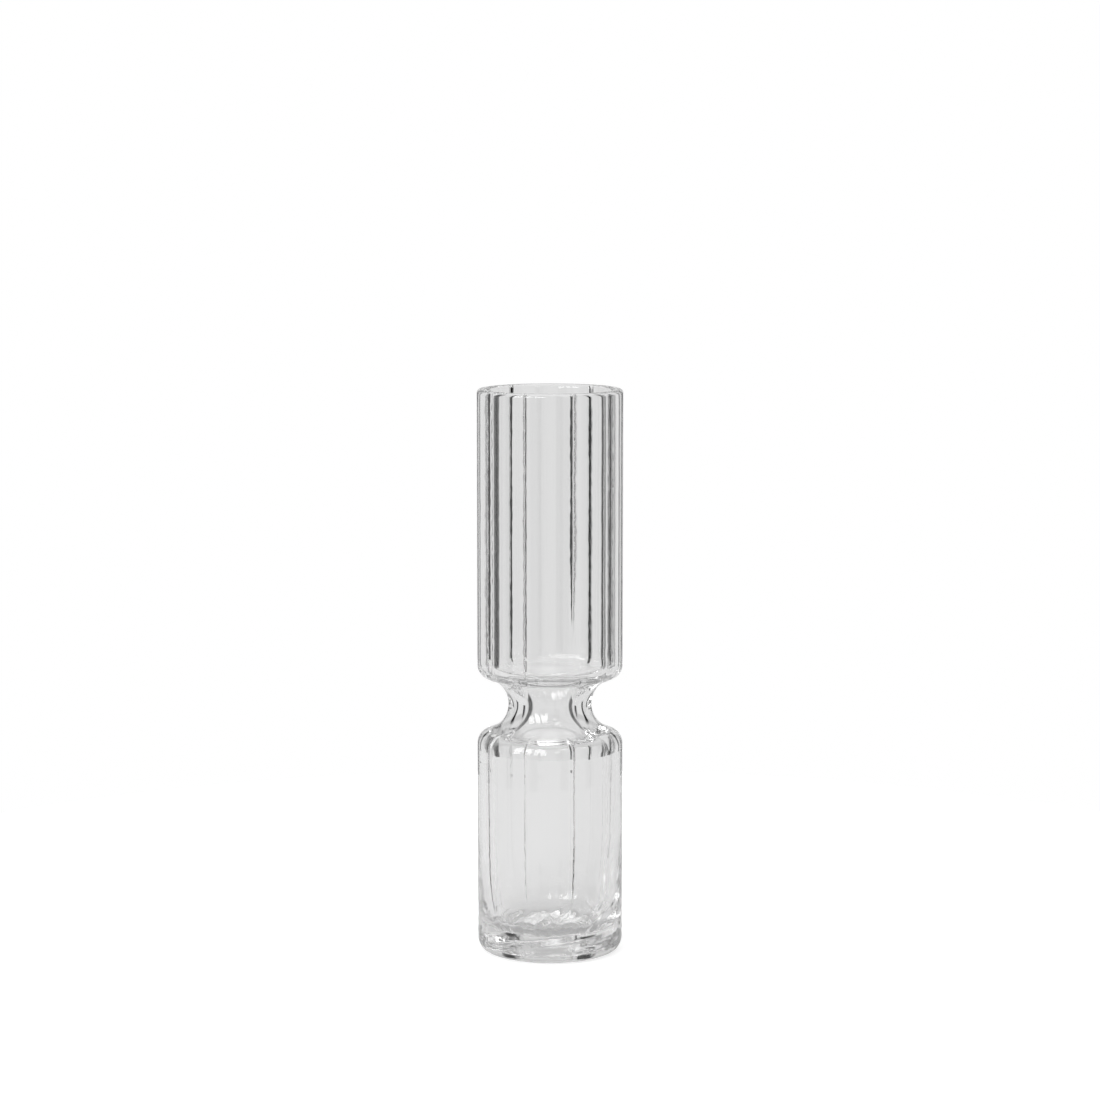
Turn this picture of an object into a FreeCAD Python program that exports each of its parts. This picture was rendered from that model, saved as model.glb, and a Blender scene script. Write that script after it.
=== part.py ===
"""Glass bud vase: one piece of clear glass with a tall cup, a pinched waist and a lower chamber.

Frame: millimetres, +Z up, origin at the centre of the foot, on the surface that the vase stands on.
The outside is a turned shape. The inside is a second turned shape with fine upright creases: cup,
waist passage and lower chamber are one open space that is filled and emptied at the mouth.
"""
import FreeCAD, Part
import math
import os

import Sketcher

DIMENSIONS = {
    # the whole vase
    "total_height": 210.0,
    "body_radius": 27.0,
    # pinched waist between the cup and the lower chamber
    "waist_height": 93.0,
    "waist_radius": 15.4,
    "waist_groove_radius": 10.2,
    "shoulder_radius": 4.9,
    # foot and rim edges
    "foot_corner_radius": 5.0,
    "rim_corner_radius": 1.5,
    # shallow hollow under the foot
    "kick_radius": 18.0,
    "kick_depth": 1.5,
    # inside, from the floor up
    "floor_height": 8.6,
    "floor_corner_radius": 8.0,
    "taper_start": 46.0,
    "taper_arc_radius": 170.0,
    "chamber_radius": 22.5,
    "passage_radius": 9.2,
    "passage_groove_radius": 12.8,
    "inner_shoulder_radius": 3.0,
    "bore_radius": 22.85,
    # fine V-shaped creases down the inside, in the cup and in the lower chamber
    "crease_count": 9,
    "crease_half_width": 0.9,
    "crease_depth": 0.9,
    "cup_crease_start": 110.0,
    "chamber_crease_end": 76.0,
    # how far cutting shapes reach past the glass
    "cut_overshoot": 2.0,
}

START, END, CENTRE = 1, 2, 3
HORIZONTAL_AXIS, VERTICAL_AXIS = -1, -2
ORIGIN_POINT = (HORIZONTAL_AXIS, START)


def fill_sheet(document):
    """Put every driving dimension in a named spreadsheet cell."""
    sheet = document.addObject("Spreadsheet::Sheet", "dimensions")
    for row, (alias, value) in enumerate(DIMENSIONS.items(), start=1):
        sheet.set(f"A{row}", alias)
        sheet.set(f"B{row}", str(value))
        sheet.setAlias(f"B{row}", alias)
    document.recompute()
    return sheet


def origin_feature(body, role):
    """The body's own origin plane or axis with this role."""
    return next(item for item in body.Origin.OriginFeatures if item.Role == role)


def new_sketch(body, name, plane_role):
    """An empty sketch on one of the body's origin planes."""
    sketch = body.newObject("Sketcher::SketchObject", name)
    sketch.AttachmentSupport = [(origin_feature(body, plane_role), "")]
    sketch.MapMode = "FlatFace"
    return sketch


def add_line(sketch, start, end):
    """A straight edge from start to end; returns its index."""
    return sketch.addGeometry(Part.LineSegment(FreeCAD.Vector(*start, 0), FreeCAD.Vector(*end, 0)))


def add_arc(sketch, centre, radius, first_deg, last_deg):
    """An arc that runs anticlockwise from first_deg to last_deg; returns its index."""
    circle = Part.Circle(FreeCAD.Vector(*centre, 0), FreeCAD.Vector(0, 0, 1), radius)
    return sketch.addGeometry(Part.ArcOfCircle(circle, math.radians(first_deg), math.radians(last_deg)))


def join(sketch, kind, edge_a, point_a, edge_b, point_b):
    """Join two edges end to end; kind is Coincident or Tangent."""
    sketch.addConstraint(Sketcher.Constraint(kind, edge_a, point_a, edge_b, point_b))


def pin_to(sketch, edge, point, axis):
    """Keep a point on the sketch's horizontal or vertical axis."""
    sketch.addConstraint(Sketcher.Constraint("PointOnObject", edge, point, axis))


def bind_offset(sketch, direction, edge, point, name, value, formula):
    """Set a point's distance from the sketch origin along X or Y from the sheet."""
    kind = "Distance" + direction
    index = sketch.addConstraint(Sketcher.Constraint(kind, *ORIGIN_POINT, edge, point, value))
    sketch.renameConstraint(index, name)
    sketch.setExpression("Constraints." + name, formula)


def bind_radius(sketch, edge, name, value, formula):
    """Set an arc's radius from the sheet."""
    index = sketch.addConstraint(Sketcher.Constraint("Radius", edge, value))
    sketch.renameConstraint(index, name)
    sketch.setExpression("Constraints." + name, formula)


def waist_arcs(sketch, lower_radius, upper_radius, throat_radius, groove_radius, corner_radius):
    """Corner arc, waist arc and corner arc, tangent to one another, from the lower wall to the upper.

    A corner's centre lies below or above the waist at the height where both arcs just touch.
    """
    waist_height = DIMENSIONS["waist_height"]
    groove_x = throat_radius + groove_radius
    reach = groove_radius + corner_radius

    def corner_place(wall_radius):
        inset = groove_x - (wall_radius - corner_radius)
        return wall_radius - corner_radius, math.sqrt(reach**2 - inset**2), inset

    low_x, low_drop, low_inset = corner_place(lower_radius)
    high_x, high_rise, high_inset = corner_place(upper_radius)
    low_turn = math.degrees(math.atan2(low_drop, low_inset))
    high_turn = math.degrees(math.atan2(high_rise, high_inset))
    low = add_arc(sketch, (low_x, waist_height - low_drop), corner_radius, 0, low_turn)
    waist = add_arc(sketch, (groove_x, waist_height), groove_radius, 180 - high_turn, 180 + low_turn)
    high = add_arc(sketch, (high_x, waist_height + high_rise), corner_radius, -high_turn, 0)
    join(sketch, "Tangent", low, END, waist, END)
    join(sketch, "Tangent", high, START, waist, START)
    return low, waist, high, waist_height - low_drop, waist_height + high_rise


def draw_outline(sketch):
    """Half section of the solid blank: foot, wall, waist, wall and rim, closed along the axis."""
    size = DIMENSIONS
    height, radius = size["total_height"], size["body_radius"]
    foot, rim = size["foot_corner_radius"], size["rim_corner_radius"]
    kick_r, kick_h = size["kick_radius"], size["kick_depth"]
    kick_arc = (kick_r**2 + kick_h**2) / (2 * kick_h)
    kick_start = 90 - math.degrees(math.asin(kick_r / kick_arc))

    kick = add_arc(sketch, (0, kick_h - kick_arc), kick_arc, kick_start, 90)
    sole = add_line(sketch, (kick_r, 0), (radius - foot, 0))
    foot_corner = add_arc(sketch, (radius - foot, foot), foot, -90, 0)
    low, waist, high, low_top, high_bottom = waist_arcs(
        sketch, radius, radius, size["waist_radius"], size["waist_groove_radius"], size["shoulder_radius"]
    )
    low_wall = add_line(sketch, (radius, foot), (radius, low_top))
    high_wall = add_line(sketch, (radius, high_bottom), (radius, height - rim))
    rim_corner = add_arc(sketch, (radius - rim, height - rim), rim, 0, 90)
    top = add_line(sketch, (radius - rim, height), (0, height))
    middle = add_line(sketch, (0, height), (0, kick_h))

    join(sketch, "Coincident", kick, START, sole, START)
    join(sketch, "Tangent", sole, END, foot_corner, START)
    join(sketch, "Tangent", foot_corner, END, low_wall, START)
    join(sketch, "Tangent", low_wall, END, low, START)
    join(sketch, "Tangent", high, END, high_wall, START)
    join(sketch, "Tangent", high_wall, END, rim_corner, START)
    join(sketch, "Tangent", rim_corner, END, top, START)
    join(sketch, "Coincident", top, END, middle, START)
    join(sketch, "Coincident", middle, END, kick, END)
    for edge, point, axis in (
        (kick, CENTRE, VERTICAL_AXIS),
        (kick, END, VERTICAL_AXIS),
        (kick, START, HORIZONTAL_AXIS),
        (sole, END, HORIZONTAL_AXIS),
        (top, END, VERTICAL_AXIS),
    ):
        pin_to(sketch, edge, point, axis)
    sketch.addConstraint(Sketcher.Constraint("Horizontal", top))
    for edge in (low_wall, high_wall):
        sketch.addConstraint(Sketcher.Constraint("Vertical", edge))
    bind_offset(sketch, "X", kick, START, "kick_edge", kick_r, "dimensions.kick_radius")
    bind_offset(sketch, "Y", kick, END, "kick_top", kick_h, "dimensions.kick_depth")
    bind_offset(sketch, "X", low_wall, START, "lower_wall", radius, "dimensions.body_radius")
    bind_offset(sketch, "X", high_wall, END, "upper_wall", radius, "dimensions.body_radius")
    bind_offset(sketch, "Y", top, END, "rim_top", height, "dimensions.total_height")
    bind_waist(sketch, waist, "waist_radius", "waist_groove_radius")
    bind_radius(sketch, low, "lower_shoulder", size["shoulder_radius"], "dimensions.shoulder_radius")
    bind_radius(sketch, high, "upper_shoulder", size["shoulder_radius"], "dimensions.shoulder_radius")
    bind_radius(sketch, foot_corner, "foot_corner", foot, "dimensions.foot_corner_radius")
    bind_radius(sketch, rim_corner, "rim_corner", rim, "dimensions.rim_corner_radius")


def bind_waist(sketch, waist, throat_alias, groove_alias):
    """Place the waist arc by its height, its throat radius and its own radius."""
    throat, groove = DIMENSIONS[throat_alias], DIMENSIONS[groove_alias]
    formula = f"dimensions.{throat_alias} + dimensions.{groove_alias}"
    bind_offset(sketch, "X", waist, CENTRE, "waist_centre", throat + groove, formula)
    height = DIMENSIONS["waist_height"]
    bind_offset(sketch, "Y", waist, CENTRE, "waist_level", height, "dimensions.waist_height")
    bind_radius(sketch, waist, "waist_arc", groove, "dimensions." + groove_alias)


def draw_hollow(sketch):
    """Half section of the inside: floor, chamber, passage, cup and the rim's inner corner."""
    size = DIMENSIONS
    height, overshoot = size["total_height"], size["cut_overshoot"]
    floor, corner = size["floor_height"], size["floor_corner_radius"]
    chamber, bore, rim = size["chamber_radius"], size["bore_radius"], size["rim_corner_radius"]
    throat, groove = size["passage_radius"], size["passage_groove_radius"]
    mouth = bore + rim
    ceiling = height + overshoot

    taper_start, taper_radius = size["taper_start"], size["taper_arc_radius"]
    drop = taper_start - floor - corner
    lean = math.degrees(math.asin(drop / (taper_radius - corner)))
    corner_x = chamber - taper_radius + (taper_radius - corner) * math.cos(math.radians(lean))

    base = add_line(sketch, (0, floor), (corner_x, floor))
    floor_corner = add_arc(sketch, (corner_x, floor + corner), corner, -90, -lean)
    taper = add_arc(sketch, (chamber - taper_radius, taper_start), taper_radius, -lean, 0)
    low, waist, high, low_top, high_bottom = waist_arcs(
        sketch, chamber, bore, throat, groove, size["inner_shoulder_radius"]
    )
    chamber_wall = add_line(sketch, (chamber, taper_start), (chamber, low_top))
    bore_wall = add_line(sketch, (bore, high_bottom), (bore, height - rim))
    rim_corner = add_arc(sketch, (mouth, height - rim), rim, 90, 180)
    lip = add_line(sketch, (mouth, height), (mouth, ceiling))
    lid = add_line(sketch, (mouth, ceiling), (0, ceiling))
    middle = add_line(sketch, (0, ceiling), (0, floor))

    join(sketch, "Tangent", base, END, floor_corner, START)
    join(sketch, "Tangent", floor_corner, END, taper, START)
    join(sketch, "Tangent", taper, END, chamber_wall, START)
    join(sketch, "Tangent", chamber_wall, END, low, START)
    join(sketch, "Tangent", high, END, bore_wall, START)
    join(sketch, "Tangent", bore_wall, END, rim_corner, END)
    join(sketch, "Coincident", rim_corner, START, lip, START)
    join(sketch, "Coincident", lip, END, lid, START)
    join(sketch, "Coincident", lid, END, middle, START)
    join(sketch, "Coincident", middle, END, base, START)
    pin_to(sketch, base, START, VERTICAL_AXIS)
    pin_to(sketch, lid, END, VERTICAL_AXIS)
    for edge in (base, lid):
        sketch.addConstraint(Sketcher.Constraint("Horizontal", edge))
    for edge in (chamber_wall, bore_wall, lip):
        sketch.addConstraint(Sketcher.Constraint("Vertical", edge))
    mouth_formula = "dimensions.bore_radius + dimensions.rim_corner_radius"
    ceiling_formula = "dimensions.total_height + dimensions.cut_overshoot"
    bind_offset(sketch, "Y", base, START, "floor_level", floor, "dimensions.floor_height")
    bind_offset(sketch, "X", chamber_wall, START, "chamber_wall", chamber, "dimensions.chamber_radius")
    bind_offset(sketch, "X", bore_wall, END, "bore_wall", bore, "dimensions.bore_radius")
    bind_offset(sketch, "X", lip, START, "mouth_edge", mouth, mouth_formula)
    bind_offset(sketch, "Y", lip, START, "mouth_level", height, "dimensions.total_height")
    bind_offset(sketch, "Y", lid, START, "cut_top", ceiling, ceiling_formula)
    bind_waist(sketch, waist, "passage_radius", "passage_groove_radius")
    inner_shoulder = size["inner_shoulder_radius"]
    bind_radius(sketch, low, "chamber_shoulder", inner_shoulder, "dimensions.inner_shoulder_radius")
    bind_radius(sketch, high, "cup_shoulder", inner_shoulder, "dimensions.inner_shoulder_radius")
    bind_radius(sketch, floor_corner, "floor_corner", corner, "dimensions.floor_corner_radius")
    bind_radius(sketch, taper, "taper", taper_radius, "dimensions.taper_arc_radius")
    bind_offset(sketch, "Y", chamber_wall, START, "taper_level", taper_start, "dimensions.taper_start")
    bind_radius(sketch, rim_corner, "rim_corner", rim, "dimensions.rim_corner_radius")


def draw_crease(sketch, wall_alias):
    """Plan of one crease at the back wall: a triangle with its point in the glass and its base in the air."""
    wall, overshoot = DIMENSIONS[wall_alias], DIMENSIONS["cut_overshoot"]
    depth, half = DIMENSIONS["crease_depth"], DIMENSIONS["crease_half_width"]
    base_half = half * (depth + overshoot) / depth
    point, base_level = wall + depth, wall - overshoot
    corners = [(-base_half, base_level), (base_half, base_level), (0, point)]
    edges = [add_line(sketch, corners[k], corners[(k + 1) % 3]) for k in range(3)]
    for k in range(3):
        join(sketch, "Coincident", edges[k], END, edges[(k + 1) % 3], START)
    sketch.addConstraint(Sketcher.Constraint("Horizontal", edges[0]))
    pin_to(sketch, edges[1], END, VERTICAL_AXIS)
    share = "(dimensions.crease_depth + dimensions.cut_overshoot) / dimensions.crease_depth"
    half_formula = f"dimensions.crease_half_width * {share}"
    bind_offset(sketch, "X", edges[0], END, "right_side", base_half, half_formula)
    bind_offset(sketch, "X", edges[0], START, "left_side", -base_half, "-" + half_formula)
    bind_offset(sketch, "Y", edges[0], START, "base", base_level, f"dimensions.{wall_alias} - dimensions.cut_overshoot")
    bind_offset(sketch, "Y", edges[1], END, "point", point, f"dimensions.{wall_alias} + dimensions.crease_depth")


def cut_creases(document, body, name, wall_alias, bottom, bottom_formula, length, length_formula):
    """Cut one crease upwards from its bottom, then repeat it round the axis; returns plan and pattern."""
    plan = new_sketch(body, name + "_crease_plan", "XY_Plane")
    draw_crease(plan, wall_alias)
    plan.AttachmentOffset = FreeCAD.Placement(FreeCAD.Vector(0, 0, bottom), FreeCAD.Rotation())
    plan.setExpression("AttachmentOffset.Base.z", bottom_formula)
    crease = body.newObject("PartDesign::Pocket", name + "_crease")
    crease.Profile = plan
    crease.Length = length
    crease.setExpression("Length", length_formula)
    crease.Reversed = True
    document.recompute()
    creases = body.newObject("PartDesign::PolarPattern", name + "_creases")
    creases.Originals = [crease]
    creases.Axis = (origin_feature(body, "Z_Axis"), [""])
    creases.Angle = 360
    creases.Occurrences = DIMENSIONS["crease_count"]
    creases.setExpression("Occurrences", "dimensions.crease_count")
    body.Tip = creases
    document.recompute()
    return plan, creases


def build_vase(document):
    """The vase as one body: turn the blank, turn out the inside, then cut the creases into its wall."""
    body = document.addObject("PartDesign::Body", "vase")
    body.Label = "vase"

    outline = new_sketch(body, "outline", "XZ_Plane")
    draw_outline(outline)
    blank = body.newObject("PartDesign::Revolution", "blank")
    blank.Profile = outline
    blank.ReferenceAxis = (outline, ["V_Axis"])
    blank.Angle = 360
    document.recompute()

    hollow_section = new_sketch(body, "hollow_section", "XZ_Plane")
    draw_hollow(hollow_section)
    hollow = body.newObject("PartDesign::Groove", "hollow")
    hollow.Profile = hollow_section
    hollow.ReferenceAxis = (hollow_section, ["V_Axis"])
    hollow.Angle = 360
    body.Tip = hollow
    document.recompute()
    hollow_volume = hollow.Shape.Volume

    size = DIMENSIONS
    cup_bottom = size["cup_crease_start"]
    cup_length = size["total_height"] - size["rim_corner_radius"] - cup_bottom
    cup_formula = "dimensions.total_height - dimensions.rim_corner_radius - dimensions.cup_crease_start"
    cup_plan, cup_creases = cut_creases(
        document, body, "cup", "bore_radius", cup_bottom, "dimensions.cup_crease_start", cup_length, cup_formula
    )
    cup_volume = cup_creases.Shape.Volume
    chamber_bottom = size["taper_start"]
    chamber_length = size["chamber_crease_end"] - chamber_bottom
    chamber_formula = "dimensions.chamber_crease_end - dimensions.taper_start"
    chamber_plan, chamber_creases = cut_creases(
        document, body, "chamber", "chamber_radius", chamber_bottom, "dimensions.taper_start",
        chamber_length, chamber_formula
    )

    volumes = [blank.Shape.Volume, hollow_volume, cup_volume, chamber_creases.Shape.Volume]
    print("blank, hollow, cup creases and chamber creases, volumes in ml:")
    print([round(volume / 1000, 3) for volume in volumes])
    if volumes != sorted(set(volumes), reverse=True):
        raise RuntimeError("a cut took nothing away")
    for sketch in (outline, hollow_section, cup_plan, chamber_plan):
        if not sketch.FullyConstrained:
            raise RuntimeError(sketch.Name + " is not fully constrained")
    return body


def check_document(document, parts):
    """Stop if an object failed, or if a part is empty, not valid or more than one solid."""
    for item in document.Objects:
        if "Invalid" in item.State or "Error" in item.State:
            raise RuntimeError(item.Name + " failed: " + ", ".join(item.State))
    for part in parts:
        if part.Shape.isNull() or not part.Shape.isValid():
            raise RuntimeError(part.Label + " has no valid shape")
        if len(part.Shape.Solids) != 1:
            raise RuntimeError(part.Label + " is not one solid")


def main():
    document = FreeCAD.newDocument("bud_vase")
    fill_sheet(document)
    parts = [build_vase(document)]
    for part in parts:
        part.Placement = FreeCAD.Placement()
    document.recompute()
    check_document(document, parts)
    os.makedirs("parts", exist_ok=True)
    for part in parts:
        part.Shape.exportStep(f"parts/{part.Label}.step")
        box = part.Shape.optimalBoundingBox()
        print(part.Label, [round(side, 3) for side in (box.XLength, box.YLength, box.ZLength)])


main()
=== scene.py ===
"""Glass bud vase: clear creased glass on a pale round table in soft studio light.

Metres, +Z up, origin at the centre of the foot. The vase is one closed grid surface: an outline that
runs from the middle of the foot, up the outside, over the rim and down the inside to the middle of
the floor, turned about the Z axis. Soft flutes and fine creases change the radius round the turn.
"""
import math

import bpy
import numpy as np
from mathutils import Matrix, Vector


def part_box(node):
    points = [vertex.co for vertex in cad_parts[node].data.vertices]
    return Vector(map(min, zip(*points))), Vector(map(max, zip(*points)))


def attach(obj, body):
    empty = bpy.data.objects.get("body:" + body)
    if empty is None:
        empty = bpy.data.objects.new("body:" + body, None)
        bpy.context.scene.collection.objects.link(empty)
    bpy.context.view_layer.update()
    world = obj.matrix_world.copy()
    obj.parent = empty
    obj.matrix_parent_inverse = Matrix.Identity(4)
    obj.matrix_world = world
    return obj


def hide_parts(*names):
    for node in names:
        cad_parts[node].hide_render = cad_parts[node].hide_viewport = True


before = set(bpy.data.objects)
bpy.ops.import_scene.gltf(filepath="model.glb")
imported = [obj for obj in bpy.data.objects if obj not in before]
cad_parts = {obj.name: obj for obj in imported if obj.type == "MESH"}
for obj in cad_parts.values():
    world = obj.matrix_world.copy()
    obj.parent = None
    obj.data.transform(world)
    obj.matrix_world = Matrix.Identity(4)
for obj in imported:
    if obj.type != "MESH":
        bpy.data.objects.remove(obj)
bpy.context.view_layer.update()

LOW, HIGH = (np.array(corner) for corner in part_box("vase"))
HEIGHT = HIGH[2] - LOW[2]
BODY_RADIUS = min(HIGH[:2] - LOW[:2]) / 2

MM = 0.001
FLUTES = 9
HALF_FLUTE = math.pi / FLUTES
COLUMNS_PER_FLUTE = 28
BUNCHING = 0.135          # how far the columns crowd towards the creases

# outside
WAIST_HEIGHT = 93 * MM
WAIST_RADIUS = 15.4 * MM
WAIST_GROOVE = 10.2 * MM
SHOULDER = 4.9 * MM
FOOT_CORNER = 5.0 * MM
FOOT_TOP = 25 * MM        # the foot's uneven skin ends below this height
RIM_CORNER = 1.5 * MM
KICK_RADIUS = 18 * MM
KICK_DEPTH = 1.5 * MM

# inside
FLOOR_HEIGHT = 8.6 * MM
FLOOR_CORNER = 8.0 * MM
TAPER_START = 46 * MM
TAPER_ARC = 170 * MM
CHAMBER_RADIUS = 22.5 * MM
PASSAGE_RADIUS = 9.2 * MM
PASSAGE_GROOVE = 12.8 * MM
INNER_SHOULDER = 3.0 * MM
BORE_RADIUS = 22.85 * MM

# nine soft flutes: how flat each is, from 0, round, to 1, flat, and how wide the line between two is
# rounded; a flatness below 0 swells the flute outwards
OUTER_FLATNESS = 0.05
OUTER_RIDGE = math.radians(1.6)
INNER_FLATNESS = -0.225
INNER_RIDGE = math.radians(1.1)

# a fine V-shaped crease runs down the inside where two flutes meet, a little uneven, as moulds leave it
CREASE_HALF = 0.92 * MM
CREASE_SLOPE = math.tan(math.radians(49.5))
FRONT_SLOPE = math.tan(math.radians(42))      # the first crease is blunter, lies a little aside
FRONT_ASIDE = math.radians(1.5)               # and ends part way down
FRONT_END = 108 * MM
FRONT_FADE = 45 * MM
CHAMBER_SHARE = 0.95                          # a chamber crease's share of the slope
CHAMBER_NARROWING = 0.15
CHAMBER_SOFT = 0.25 * MM
CREASE_SOFT = 0.06 * MM
BROAD, DEEP, SLIGHT, TRACE = 1.45, 1.15, 0.65, 0.08     # a crease's share of the full width
CREASE_SHARES = (DEEP, TRACE, SLIGHT, BROAD, TRACE, DEEP, TRACE, DEEP, SLIGHT)     # round by +X
CREASE_WANDER = 0.05 * MM
WALL_RIPPLE = 0.007 * MM
FOOT_RIPPLE = 0.06 * MM
FOOT_SKIN = 0.1 * MM
WAVE_DEPTH = 0.15 * MM    # of the glass's faint bump
SCUFF_TOP = 0.6 * MM      # the standing ring is scuffed below this height
SCUFF_ROUGHNESS = 0.35


def arc(centre, radius, first_deg, last_deg, count):
    """Points on a circle arc from first_deg to last_deg, both ends included."""
    turn = np.radians(np.linspace(first_deg, last_deg, count))
    return np.stack([centre[0] + radius * np.cos(turn), centre[1] + radius * np.sin(turn)], axis=1)


def line(start, end, count):
    """Evenly spaced points from start to end, both ends left out."""
    share = np.linspace(0, 1, count + 2)[1:-1, None]
    return (1 - share) * np.array(start) + share * np.array(end)


def waist(wall_radius, throat_radius, groove, corner, corner_count, groove_count):
    """Corner arc, waist arc and corner arc, tangent to one another, from the lower wall to the upper.

    A corner's centre lies where its circle just touches the waist circle, and its wall is vertical.
    """
    groove_x = throat_radius + groove
    inset = groove_x - (wall_radius - corner)
    rise = math.sqrt((groove + corner) ** 2 - inset**2)
    turn = math.degrees(math.atan2(rise, inset))
    low = arc((wall_radius - corner, WAIST_HEIGHT - rise), corner, 0, turn, corner_count)
    middle = arc((groove_x, WAIST_HEIGHT), groove, 180 + turn, 180 - turn, groove_count)[1:-1]
    high = arc((wall_radius - corner, WAIST_HEIGHT + rise), corner, -turn, 0, corner_count)
    return np.concatenate([low, middle, high])


def outer_outline():
    """Radius and height from the kick's edge of the axis, up the outside, to the top of the rim."""
    kick_arc = (KICK_RADIUS**2 + KICK_DEPTH**2) / (2 * KICK_DEPTH)
    kick_turn = math.degrees(math.asin(KICK_RADIUS / kick_arc))
    kick = arc((0, KICK_DEPTH - kick_arc), kick_arc, 90, 90 - kick_turn, 21)[1:]
    foot = arc((BODY_RADIUS - FOOT_CORNER, FOOT_CORNER), FOOT_CORNER, -90, 0, 12)
    middle = waist(BODY_RADIUS, WAIST_RADIUS, WAIST_GROOVE, SHOULDER, 10, 24)
    rim = arc((BODY_RADIUS - RIM_CORNER, HEIGHT - RIM_CORNER), RIM_CORNER, 0, 90, 9)
    foot_top = (BODY_RADIUS, FOOT_TOP)
    lower_wall = np.concatenate(
        [line(foot[-1], foot_top, 20), [foot_top], line(foot_top, middle[0], 8)]
    )
    upper_wall = line(middle[-1], rim[0], 14)
    return np.concatenate([kick, foot, lower_wall, middle, upper_wall, rim])


def inner_outline():
    """Radius and height from the top of the rim, down the inside, to the floor near the axis."""
    rim = arc((BORE_RADIUS + RIM_CORNER, HEIGHT - RIM_CORNER), RIM_CORNER, 90, 180, 9)
    middle = waist(BORE_RADIUS, PASSAGE_RADIUS, PASSAGE_GROOVE, INNER_SHOULDER, 8, 30)[::-1]
    rise = TAPER_START - FLOOR_HEIGHT - FLOOR_CORNER
    lean = math.degrees(math.asin(rise / (TAPER_ARC - FLOOR_CORNER)))
    taper = arc((CHAMBER_RADIUS - TAPER_ARC, TAPER_START), TAPER_ARC, 0, -lean, 30)
    across = (TAPER_ARC - FLOOR_CORNER) * (1 - math.cos(math.radians(lean)))
    corner_x = CHAMBER_RADIUS - across - FLOOR_CORNER
    floor_corner = arc((corner_x, FLOOR_HEIGHT + FLOOR_CORNER), FLOOR_CORNER, -lean, -90, 20)[1:]
    cup_wall = line(rim[-1], middle[0], 120)
    chamber_wall = line(middle[-1], taper[0], 16)
    floor = line(floor_corner[-1], (0, FLOOR_HEIGHT), 16)
    return np.concatenate([rim, cup_wall, middle, chamber_wall, taper, floor_corner, floor])


def flute_depth(azimuth, flatness, ridge):
    """How far the flutes lie inside the round surface, as a share of its radius.

    With v the angle from the nearest line between two flutes, softened to sqrt(v^2 + ridge^2) - ridge,
    the depth is flatness * v * (2 * HALF_FLUTE - v) / 2: at flatness 1, very nearly a flat face.
    """
    from_middle = np.abs((azimuth + HALF_FLUTE) % (2 * HALF_FLUTE) - HALF_FLUTE)
    from_ridge = HALF_FLUTE - from_middle
    soft = np.sqrt(from_ridge**2 + ridge**2) - ridge
    return flatness * soft * (2 * HALF_FLUTE - soft) / 2


def smooth_step(value, low, high):
    """0 at low, 1 at high and smooth between; with low above high it falls instead."""
    share = np.clip((value - low) / (high - low), 0, 1)
    return share * share * (3 - 2 * share)


def wall_ripple(azimuth, height):
    """Faint mould waviness of the inside in metres: a sum of slow waves up and round the wall."""
    waves = ((1, 7.3, 0.4), (2, 4.9, 2.1), (3, 3.4, 4.4), (1, 11.0, 1.0), (2, 2.6, 5.2))
    total = sum(
        np.sin(count * azimuth + 2 * math.pi * height / (length * MM) + phase) / (1 + 0.35 * index)
        for index, (count, length, phase) in enumerate(waves)
    )
    return WALL_RIPPLE * total


def foot_ripple(azimuth, radius, height):
    """Uneven surface round the thick foot, in metres: a sum of short waves round, across and up."""
    waves = ((9, 6.1, 0.0), (14, 4.3, 1.9), (23, 3.4, 4.0), (17, 5.2, 5.5), (31, 2.9, 2.6))
    along = 2 * math.pi * (radius - height) / MM
    total = sum(np.sin(count * azimuth + along / length + phase) for count, length, phase in waves)
    off_axis = smooth_step(radius, 3 * MM, 9 * MM)
    return FOOT_RIPPLE * total * off_axis * (1 - smooth_step(height, 14 * MM, 26 * MM))


def foot_skin(azimuth, height):
    """Faint dimples in the outside of the foot, in metres: short waves round times waves up the wall."""
    up = 2 * math.pi * height / MM
    first = np.sin(13 * azimuth + up / 9.1) * np.sin(22 * azimuth + 1.3 - up / 6.7)
    second = np.sin(37 * azimuth + 2.1 + up / 5.3) * np.sin(29 * azimuth + up / 7.9)
    return FOOT_SKIN * (first + 0.7 * second - 1.7) * smooth_step(height, 24 * MM, 12 * MM)


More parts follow.
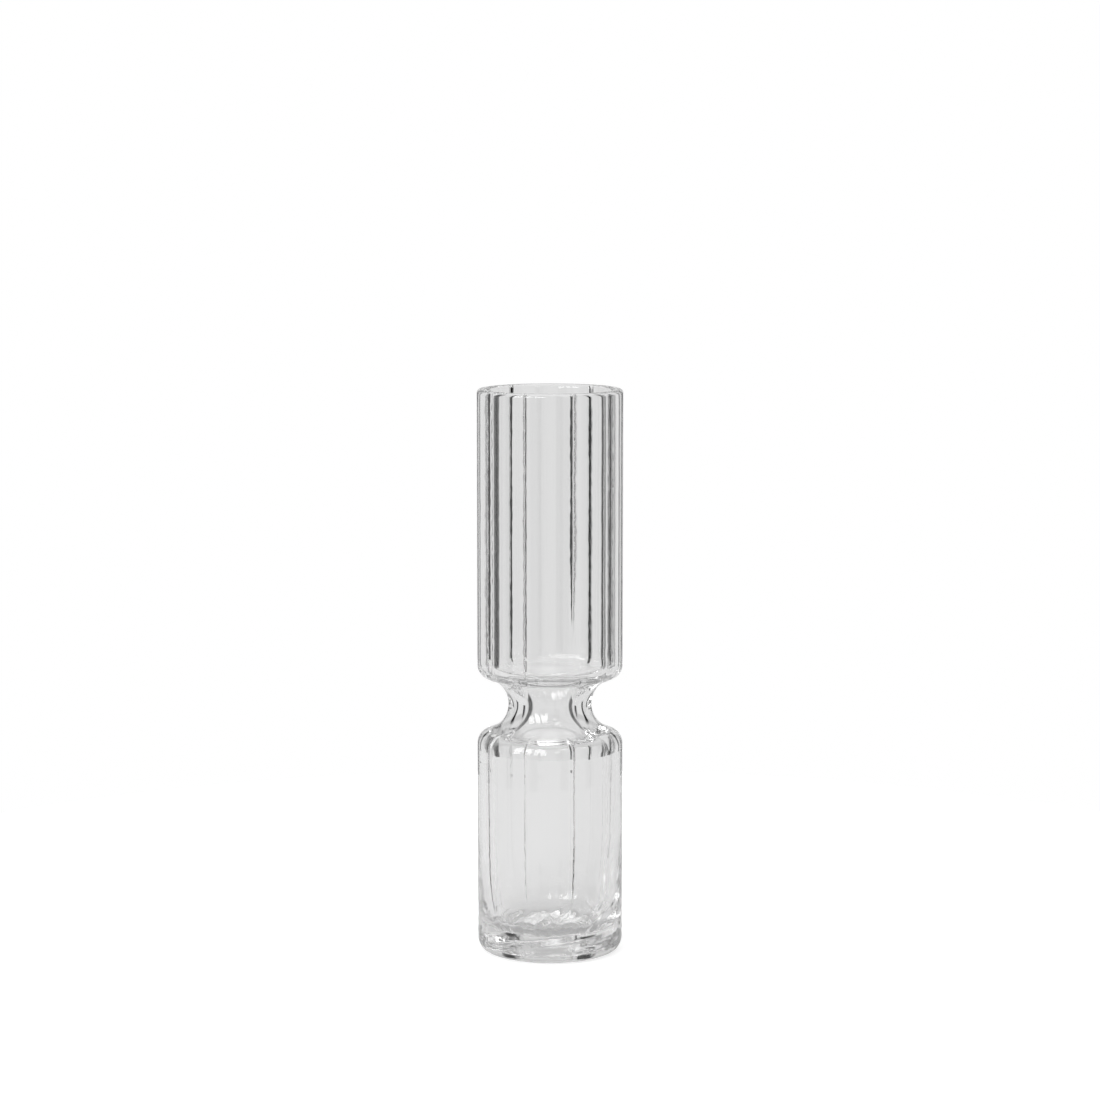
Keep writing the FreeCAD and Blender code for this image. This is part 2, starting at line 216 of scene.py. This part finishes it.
def crease(azimuth, height):
    """Depth of the creases down the inside, in metres.

    With d the distance from the crease's own wandering line and h its half width, which also varies
    up the wall, the depth is slope * (h - d), not less than nothing, with a softened point and edges.
    In the chamber creases are softer and narrower, and they fade towards the floor.
    """
    number = np.floor(azimuth / (2 * HALF_FLUTE))
    first = number == 0
    aside = np.where(first, FRONT_ASIDE, 0)
    away = (azimuth - aside - (number + 0.5) * 2 * HALF_FLUTE) * BORE_RADIUS
    turn = 2 * math.pi * height / MM
    wander = (
        np.sin(turn / 7.9 + 1.7 * number)
        + 0.7 * np.sin(turn / 4.3 + 2.9 * number)
        + 0.5 * np.sin(turn / 2.7 + 4.1 * number)
    )
    half = CREASE_HALF * np.take(CREASE_SHARES, number.astype(int)) * (
        1 + 0.1 * np.sin(turn / 37 + 2.3 * number) + 0.1 * np.sin(turn / 5.3 + 1.1 * number)
    )
    in_cup = smooth_step(height, 85 * MM, 105 * MM)
    shortened = smooth_step(height, FRONT_END, FRONT_END + FRONT_FADE)
    half = half * np.where(first & (in_cup > 0.5), shortened, 1)
    half = half * (1 - CHAMBER_NARROWING + CHAMBER_NARROWING * in_cup) * smooth_step(height, 9 * MM, 30 * MM)
    soft = CHAMBER_SOFT + (CREASE_SOFT - CHAMBER_SOFT) * in_cup
    distance = np.sqrt((away - CREASE_WANDER * wander) ** 2 + soft**2)
    cup_slope = np.where(first, FRONT_SLOPE, CREASE_SLOPE)
    slope = cup_slope * in_cup + CHAMBER_SHARE * CREASE_SLOPE * (1 - in_cup)
    depth = slope * (half - distance)
    return (depth + np.sqrt(depth**2 + (0.4 * soft) ** 2)) / 2


def vase_points():
    """Grid of points, one row per outline point and one column per azimuth.

    Radius = outline radius * (1 - flute depth, faded in away from the axis and the foot). The foot's
    skin is added outside, and the ripples and creases inside. Floor and kick are also lifted by the
    foot's ripple. Azimuth 0 is the middle of the front flute, which faces -Y.
    """
    outside, inside = outer_outline(), inner_outline()
    share = np.arange(COLUMNS_PER_FLUTE) / COLUMNS_PER_FLUTE
    bunched = share + BUNCHING * np.sin(2 * math.pi * share)
    azimuth = ((np.arange(FLUTES)[:, None] + bunched) * 2 * HALF_FLUTE).ravel()
    rows = []
    for outline, flatness, ridge, start, full in (
        (outside, OUTER_FLATNESS, OUTER_RIDGE, 12 * MM, 26 * MM),
        (inside, INNER_FLATNESS, INNER_RIDGE, 6 * MM, 22 * MM),
    ):
        radius, height = outline[:, :1], outline[:, 1:]
        weight = smooth_step(radius, start, full) * smooth_step(height, 2 * MM, 11 * MM)
        depth = flute_depth(azimuth[None, :], flatness, ridge) * weight
        shaped = radius * (1 - depth)
        if outline is outside:
            shaped = shaped + foot_skin(azimuth[None, :], height) * smooth_step(radius, 16 * MM, 22 * MM)
        else:
            fade = smooth_step(HEIGHT - height, 1 * MM, 8 * MM) * weight
            shaped = shaped + wall_ripple(azimuth[None, :], height) * fade
            shaped = shaped + foot_ripple(azimuth[None, :], radius, height)
            shaped = shaped + crease(azimuth[None, :], height) * smooth_step(radius, 17 * MM, 22 * MM)
        lift = foot_ripple(azimuth[None, :] + 0.7, radius, height)
        lift = lift * smooth_step(radius, 24 * MM, 17 * MM)
        lift = lift * (1 if outline is inside else 2 * smooth_step(radius, 17 * MM, 14 * MM))
        rows.append(
            np.stack([shaped * np.sin(azimuth), -shaped * np.cos(azimuth), height + lift], axis=2)
        )
    return np.concatenate(rows)


def closed_mesh(name, grid, first_pole, last_pole):
    """A mesh from a grid that closes round its columns, with a point at each end of the axis."""
    rows, columns = grid.shape[:2]
    vertices = np.concatenate([[first_pole], grid.reshape(-1, 3), [last_pole]])
    column = np.arange(columns)
    following = (column + 1) % columns
    row = np.arange(rows - 1)[:, None] * columns + 1
    quads = np.stack(
        [row + column, row + following, row + following + columns, row + column + columns], axis=2
    )
    top = (rows - 1) * columns + 1
    last = len(vertices) - 1
    start_fan = np.stack([np.zeros_like(column), 1 + following, 1 + column], axis=1)
    end_fan = np.stack([np.full_like(column, last), top + column, top + following], axis=1)
    faces = quads.reshape(-1, 4).tolist() + start_fan.tolist() + end_fan.tolist()
    mesh = bpy.data.meshes.new(name)
    mesh.from_pydata(vertices.tolist(), [], faces)
    mesh.validate()
    mesh.polygons.foreach_set("use_smooth", np.ones(len(mesh.polygons), dtype=bool))
    mesh.update()
    return mesh


def new_material(name):
    """An empty node material and its node tree."""
    material = bpy.data.materials.new(name)
    material.use_nodes = True
    material.node_tree.nodes.clear()
    return material, material.node_tree


def clear_glass():
    """Clear polished glass, faintly wavy, with a scuffed ring where it stands.

    The bump is soft noise over the surface. The roughness is nothing above SCUFF_TOP and rises below
    it with a finer noise.
    """
    material, tree = new_material("clear_glass")
    output = tree.nodes.new("ShaderNodeOutputMaterial")
    glass = tree.nodes.new("ShaderNodeBsdfPrincipled")
    glass.inputs["Base Color"].default_value = (0.992, 0.992, 0.992, 1)
    glass.inputs["IOR"].default_value = 1.5
    glass.inputs["Transmission Weight"].default_value = 1.0
    tree.links.new(glass.outputs["BSDF"], output.inputs["Surface"])
    place = tree.nodes.new("ShaderNodeTexCoord")
    waves = tree.nodes.new("ShaderNodeTexNoise")
    waves.inputs["Scale"].default_value = 90
    waves.inputs["Detail"].default_value = 1.5
    tree.links.new(place.outputs["Object"], waves.inputs["Vector"])
    bump = tree.nodes.new("ShaderNodeBump")
    bump.inputs["Strength"].default_value = 0.25
    bump.inputs["Distance"].default_value = WAVE_DEPTH
    tree.links.new(waves.outputs["Fac"], bump.inputs["Height"])
    tree.links.new(bump.outputs["Normal"], glass.inputs["Normal"])
    split = tree.nodes.new("ShaderNodeSeparateXYZ")
    tree.links.new(place.outputs["Object"], split.inputs[0])
    scratches = tree.nodes.new("ShaderNodeTexNoise")
    scratches.inputs["Scale"].default_value = 1400
    scratches.inputs["Detail"].default_value = 3
    tree.links.new(place.outputs["Object"], scratches.inputs["Vector"])
    worn = ramp(tree, split.outputs["Z"], SCUFF_TOP, SCUFF_TOP / 3)
    marked = ramp(tree, scratches.outputs["Fac"], 0.45, 0.65)
    rough = math_node(tree, "MULTIPLY", math_node(tree, "MULTIPLY", worn, marked), SCUFF_ROUGHNESS)
    tree.links.new(rough, glass.inputs["Roughness"])
    depth = tree.nodes.new("ShaderNodeVolumeAbsorption")
    depth.inputs["Color"].default_value = (0.3, 0.3, 0.3, 1)
    depth.inputs["Density"].default_value = 4.0
    tree.links.new(depth.outputs["Volume"], output.inputs["Volume"])
    return material


def make_vase():
    """The vase: one piece of glass."""
    mesh = closed_mesh("vase_glass", vase_points(), (0, 0, KICK_DEPTH), (0, 0, FLOOR_HEIGHT))
    vase = bpy.data.objects.new("vase_glass", mesh)
    bpy.context.collection.objects.link(vase)
    mesh.materials.append(clear_glass())
    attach(vase, "root")
    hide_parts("vase")


TABLE_RADIUS = 0.35


def make_table():
    """A plain pale round table top that glows with painted light: 0.25 for every ray, which lights the glass
    and fills the shadow under it, and 0.4 more for the camera, which sees it as pure white.
    """
    columns = 128
    turn = np.arange(columns) * 2 * math.pi / columns
    rim = np.stack([TABLE_RADIUS * np.cos(turn), TABLE_RADIUS * np.sin(turn), 0 * turn], axis=1)
    mesh = bpy.data.meshes.new("table")
    mesh.from_pydata(rim.tolist(), [], [list(range(columns))])
    table = bpy.data.objects.new("table", mesh)
    bpy.context.collection.objects.link(table)
    table.location.z = LOW[2]
    material, tree = new_material("pale_table_painted_glow")
    output = tree.nodes.new("ShaderNodeOutputMaterial")
    matt = tree.nodes.new("ShaderNodeBsdfDiffuse")
    matt.inputs["Color"].default_value = (0.5, 0.5, 0.5, 1)
    # painted glow: the table emits light of its own, 0.25 for all rays plus 0.4 more for camera rays
    lift = tree.nodes.new("ShaderNodeEmission")
    lift.inputs["Color"].default_value = (1, 1, 1, 1)
    path = tree.nodes.new("ShaderNodeLightPath")
    strength = tree.nodes.new("ShaderNodeMath")
    strength.operation = "MULTIPLY_ADD"
    strength.inputs[1].default_value = 0.4
    strength.inputs[2].default_value = 0.25
    total = tree.nodes.new("ShaderNodeAddShader")
    tree.links.new(path.outputs["Is Camera Ray"], strength.inputs[0])
    tree.links.new(strength.outputs[0], lift.inputs["Strength"])
    tree.links.new(matt.outputs[0], total.inputs[0])
    tree.links.new(lift.outputs[0], total.inputs[1])
    tree.links.new(total.outputs[0], output.inputs["Surface"])
    mesh.materials.append(material)


def math_node(tree, operation, *values):
    """A Math node whose inputs are numbers or other nodes' outputs; returns its output."""
    node = tree.nodes.new("ShaderNodeMath")
    node.operation = operation
    for index, value in enumerate(values):
        if isinstance(value, (int, float)):
            node.inputs[index].default_value = value
        else:
            tree.links.new(value, node.inputs[index])
    return node.outputs[0]


QUARTER = math.radians(90)
WALL_HALF = math.radians(15.6)
GAP_START = math.radians(18.4)
GAP_END = math.radians(26.2)
CORNER_START = math.radians(30.3)
BRIGHT, DARK, CORNER = 0.75, 0.01, 0.78
BAND_SHADE = 0.78        # the walls are this much dimmer in a band a little above the table


def make_studio():
    """Four bright walls with dark gaps and even corners between them.

    The light goes by direction round the vase: BRIGHT up to WALL_HALF from the middle of a wall, DARK
    from GAP_START to GAP_END, CORNER from CORNER_START on, and BRIGHT all round high up. A band a
    little above the table is dimmed by BAND_SHADE. What the camera sees directly is plain white.
    """
    world = bpy.data.worlds.new("studio")
    bpy.context.scene.world = world
    world.use_nodes = True
    tree = world.node_tree
    tree.nodes.clear()
    output = tree.nodes.new("ShaderNodeOutputWorld")
    place = tree.nodes.new("ShaderNodeTexCoord")
    split = tree.nodes.new("ShaderNodeSeparateXYZ")
    tree.links.new(place.outputs["Generated"], split.inputs[0])
    x, y, z = (split.outputs[index] for index in range(3))
    azimuth = math_node(tree, "ARCTAN2", x, y)
    turn = math_node(tree, "ABSOLUTE", math_node(tree, "WRAP", azimuth, QUARTER / 2, -QUARTER / 2))
    fall = ramp(tree, turn, WALL_HALF, GAP_START)
    rise = ramp(tree, turn, GAP_END, CORNER_START)
    level = math_node(tree, "ADD", math_node(tree, "MULTIPLY", fall, DARK - BRIGHT), BRIGHT)
    level = math_node(tree, "ADD", math_node(tree, "MULTIPLY", rise, CORNER - DARK), level)
    high = ramp(tree, z, 0.3, 0.55)
    lift = math_node(tree, "MULTIPLY", high, math_node(tree, "SUBTRACT", BRIGHT, level))
    level = math_node(tree, "ADD", level, lift)
    low_band = math_node(tree, "MULTIPLY", ramp(tree, z, 0.1, 0.18), ramp(tree, z, 0.5, 0.35))
    shading = math_node(tree, "MULTIPLY_ADD", low_band, BAND_SHADE - 1, 1.0)
    level = math_node(tree, "MULTIPLY", level, shading)
    path = tree.nodes.new("ShaderNodeLightPath")
    level = math_node(tree, "MAXIMUM", level, path.outputs["Is Camera Ray"])
    shade = tree.nodes.new("ShaderNodeBackground")
    shade.inputs["Color"].default_value = (1, 1, 1, 1)
    tree.links.new(level, shade.inputs["Strength"])
    tree.links.new(shade.outputs[0], output.inputs["Surface"])


def ramp(tree, value, low, high):
    """0 at low, 1 at high and straight between; with low above high it falls instead."""
    return clamped(tree, math_node(tree, "DIVIDE", math_node(tree, "SUBTRACT", value, low), high - low))


def clamped(tree, value):
    """The value kept between 0 and 1."""
    return math_node(tree, "MINIMUM", math_node(tree, "MAXIMUM", value, 0.0), 1.0)


def area_light(name, place, aim, width, depth, watts):
    """A soft box at place, turned towards aim."""
    data = bpy.data.lights.new(name, "AREA")
    data.shape = "RECTANGLE"
    data.size, data.size_y = width, depth
    data.energy = watts
    light = bpy.data.objects.new(name, data)
    bpy.context.collection.objects.link(light)
    light.location = place
    turn_towards(light, aim)


def turn_towards(thing, aim):
    """Turn a lamp so that its -Z looks at aim, with its top up."""
    away = np.array(thing.location) - np.array(aim)
    flat = math.hypot(away[0], away[1])
    tilt = math.atan2(flat, away[2])
    heading = math.atan2(away[0], -away[1])
    thing.rotation_mode = "XYZ"
    thing.rotation_euler = (tilt, 0, heading)


WINDOWS = ((-52, 0.45), (-32, 0.3), (-14, 0.42))     # degrees round from the front, and width
WINDOW_DISTANCE, WINDOW_HEIGHT = 1.6, 0.9
WATTS_PER_WIDTH = 17


def make_lights():
    """Three tall soft windows to the left, a soft box to the right and a large one overhead."""
    aim = (0, 0, HEIGHT / 2)
    area_light("overhead_softbox", (0, 0.1, 1.7), (0, 0, 0), 1.4, 1.4, 5)
    for number, (turn, width) in enumerate(WINDOWS):
        side = math.radians(turn)
        place = (WINDOW_DISTANCE * math.sin(side), -WINDOW_DISTANCE * math.cos(side), WINDOW_HEIGHT)
        area_light(f"left_window_{number}", place, aim, width, 0.9, WATTS_PER_WIDTH * width)
    area_light("right_softbox", (0.55, -1.2, 1.25), aim, 0.35, 0.35, 1.2)


CAMERA_DISTANCE = 1.2236
CAMERA_HEIGHT = 0.3046
CAMERA_TILT = math.radians(7.185)
CAMERA_LENS = 109.4
CAMERA_AZIMUTH = math.radians(1.7)


def make_camera():
    """A long lens above the rim, looking slightly down, near the middle of the front flute."""
    data = bpy.data.cameras.new("camera")
    data.lens = CAMERA_LENS
    data.sensor_width = 36
    data.clip_start = 0.01
    camera = bpy.data.objects.new("camera", data)
    bpy.context.collection.objects.link(camera)
    side, back = math.sin(CAMERA_AZIMUTH), math.cos(CAMERA_AZIMUTH)
    camera.location = (CAMERA_DISTANCE * side, -CAMERA_DISTANCE * back, CAMERA_HEIGHT)
    camera.rotation_mode = "XYZ"
    camera.rotation_euler = (math.pi / 2 - CAMERA_TILT, 0, CAMERA_AZIMUTH)
    bpy.context.scene.camera = camera


LIGHT_BOUNCES = 40        # thick glass passes light back and forth many times before it leaves


def set_light_paths():
    """Plain tones, and enough bounces for the thick glass to stay clear."""
    scene = bpy.context.scene
    scene.view_settings.view_transform = "Standard"
    scene.cycles.max_bounces = LIGHT_BOUNCES
    scene.cycles.transmission_bounces = LIGHT_BOUNCES
    scene.cycles.glossy_bounces = LIGHT_BOUNCES


set_light_paths()
make_vase()
make_table()
make_studio()
make_lights()
make_camera()
